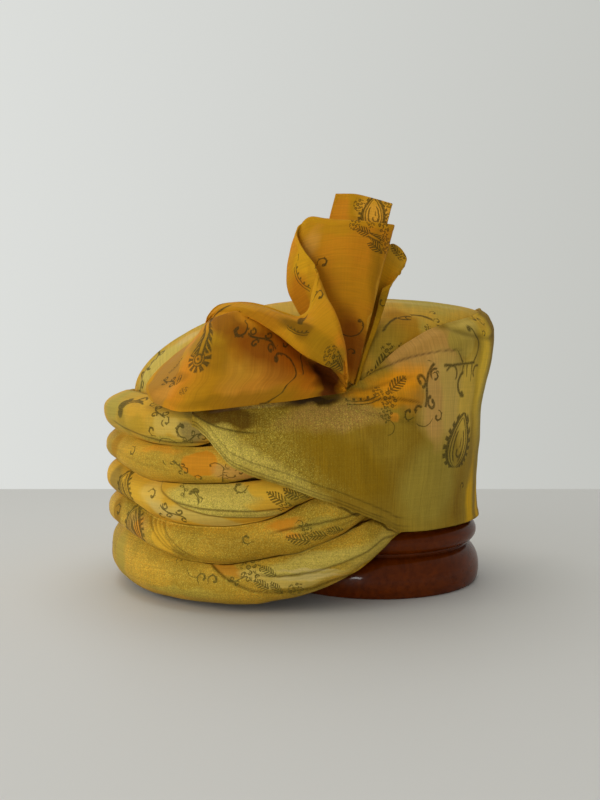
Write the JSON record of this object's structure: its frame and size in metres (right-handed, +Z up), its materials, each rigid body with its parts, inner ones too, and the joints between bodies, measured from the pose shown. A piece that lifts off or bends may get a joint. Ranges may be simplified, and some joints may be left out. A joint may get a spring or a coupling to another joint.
{
  "type": "tied turban pagri on a turned wooden stand",
  "caption": "Tied turban wound in thick rolls round a domed crown, with a gold-bordered wrap and a pleated upright fan of cloth, resting on a plain turned wooden stand.",
  "frame": {"origin": "centre of the stand's flat foot, on the surface it stands on", "axes": "+X towards the plain wrapped end, -X towards the rolled end, -Y towards the side with the pleated fan, +Z up"},
  "size_m": [0.296, 0.2533, 0.2752],
  "materials": {
    "stand_wood": "dark red-brown turned wood under glossy varnish",
    "cap_cloth": "thin printed cotton-silk, straw and pink-tan with olive vines, matt",
    "roll_cloth": "thin printed cotton-silk wound in thick rolls, yellow, orange and olive patches with a soft metallic glint",
    "wrap_cloth": "olive gold cloth with a woven metallic border and printed vines, satin",
    "fan_cloth": "single layer of orange and golden yellow printed cloth, slightly sheer and crisp, matt"
  },
  "bodies": {
    "root": {"stand_base": "stand_wood", "crown_cap": "cap_cloth", "roll_1": "roll_cloth", "roll_2": "roll_cloth", "roll_3": "roll_cloth", "roll_4": "roll_cloth", "roll_5": "roll_cloth", "cross_wrap": "wrap_cloth", "turra_flap": "fan_cloth", "turra_ruffle": "fan_cloth", "turra_panel": "fan_cloth", "turra_tip": "fan_cloth", "turra_back_pleat": "fan_cloth"}
  },
  "joints": []
}
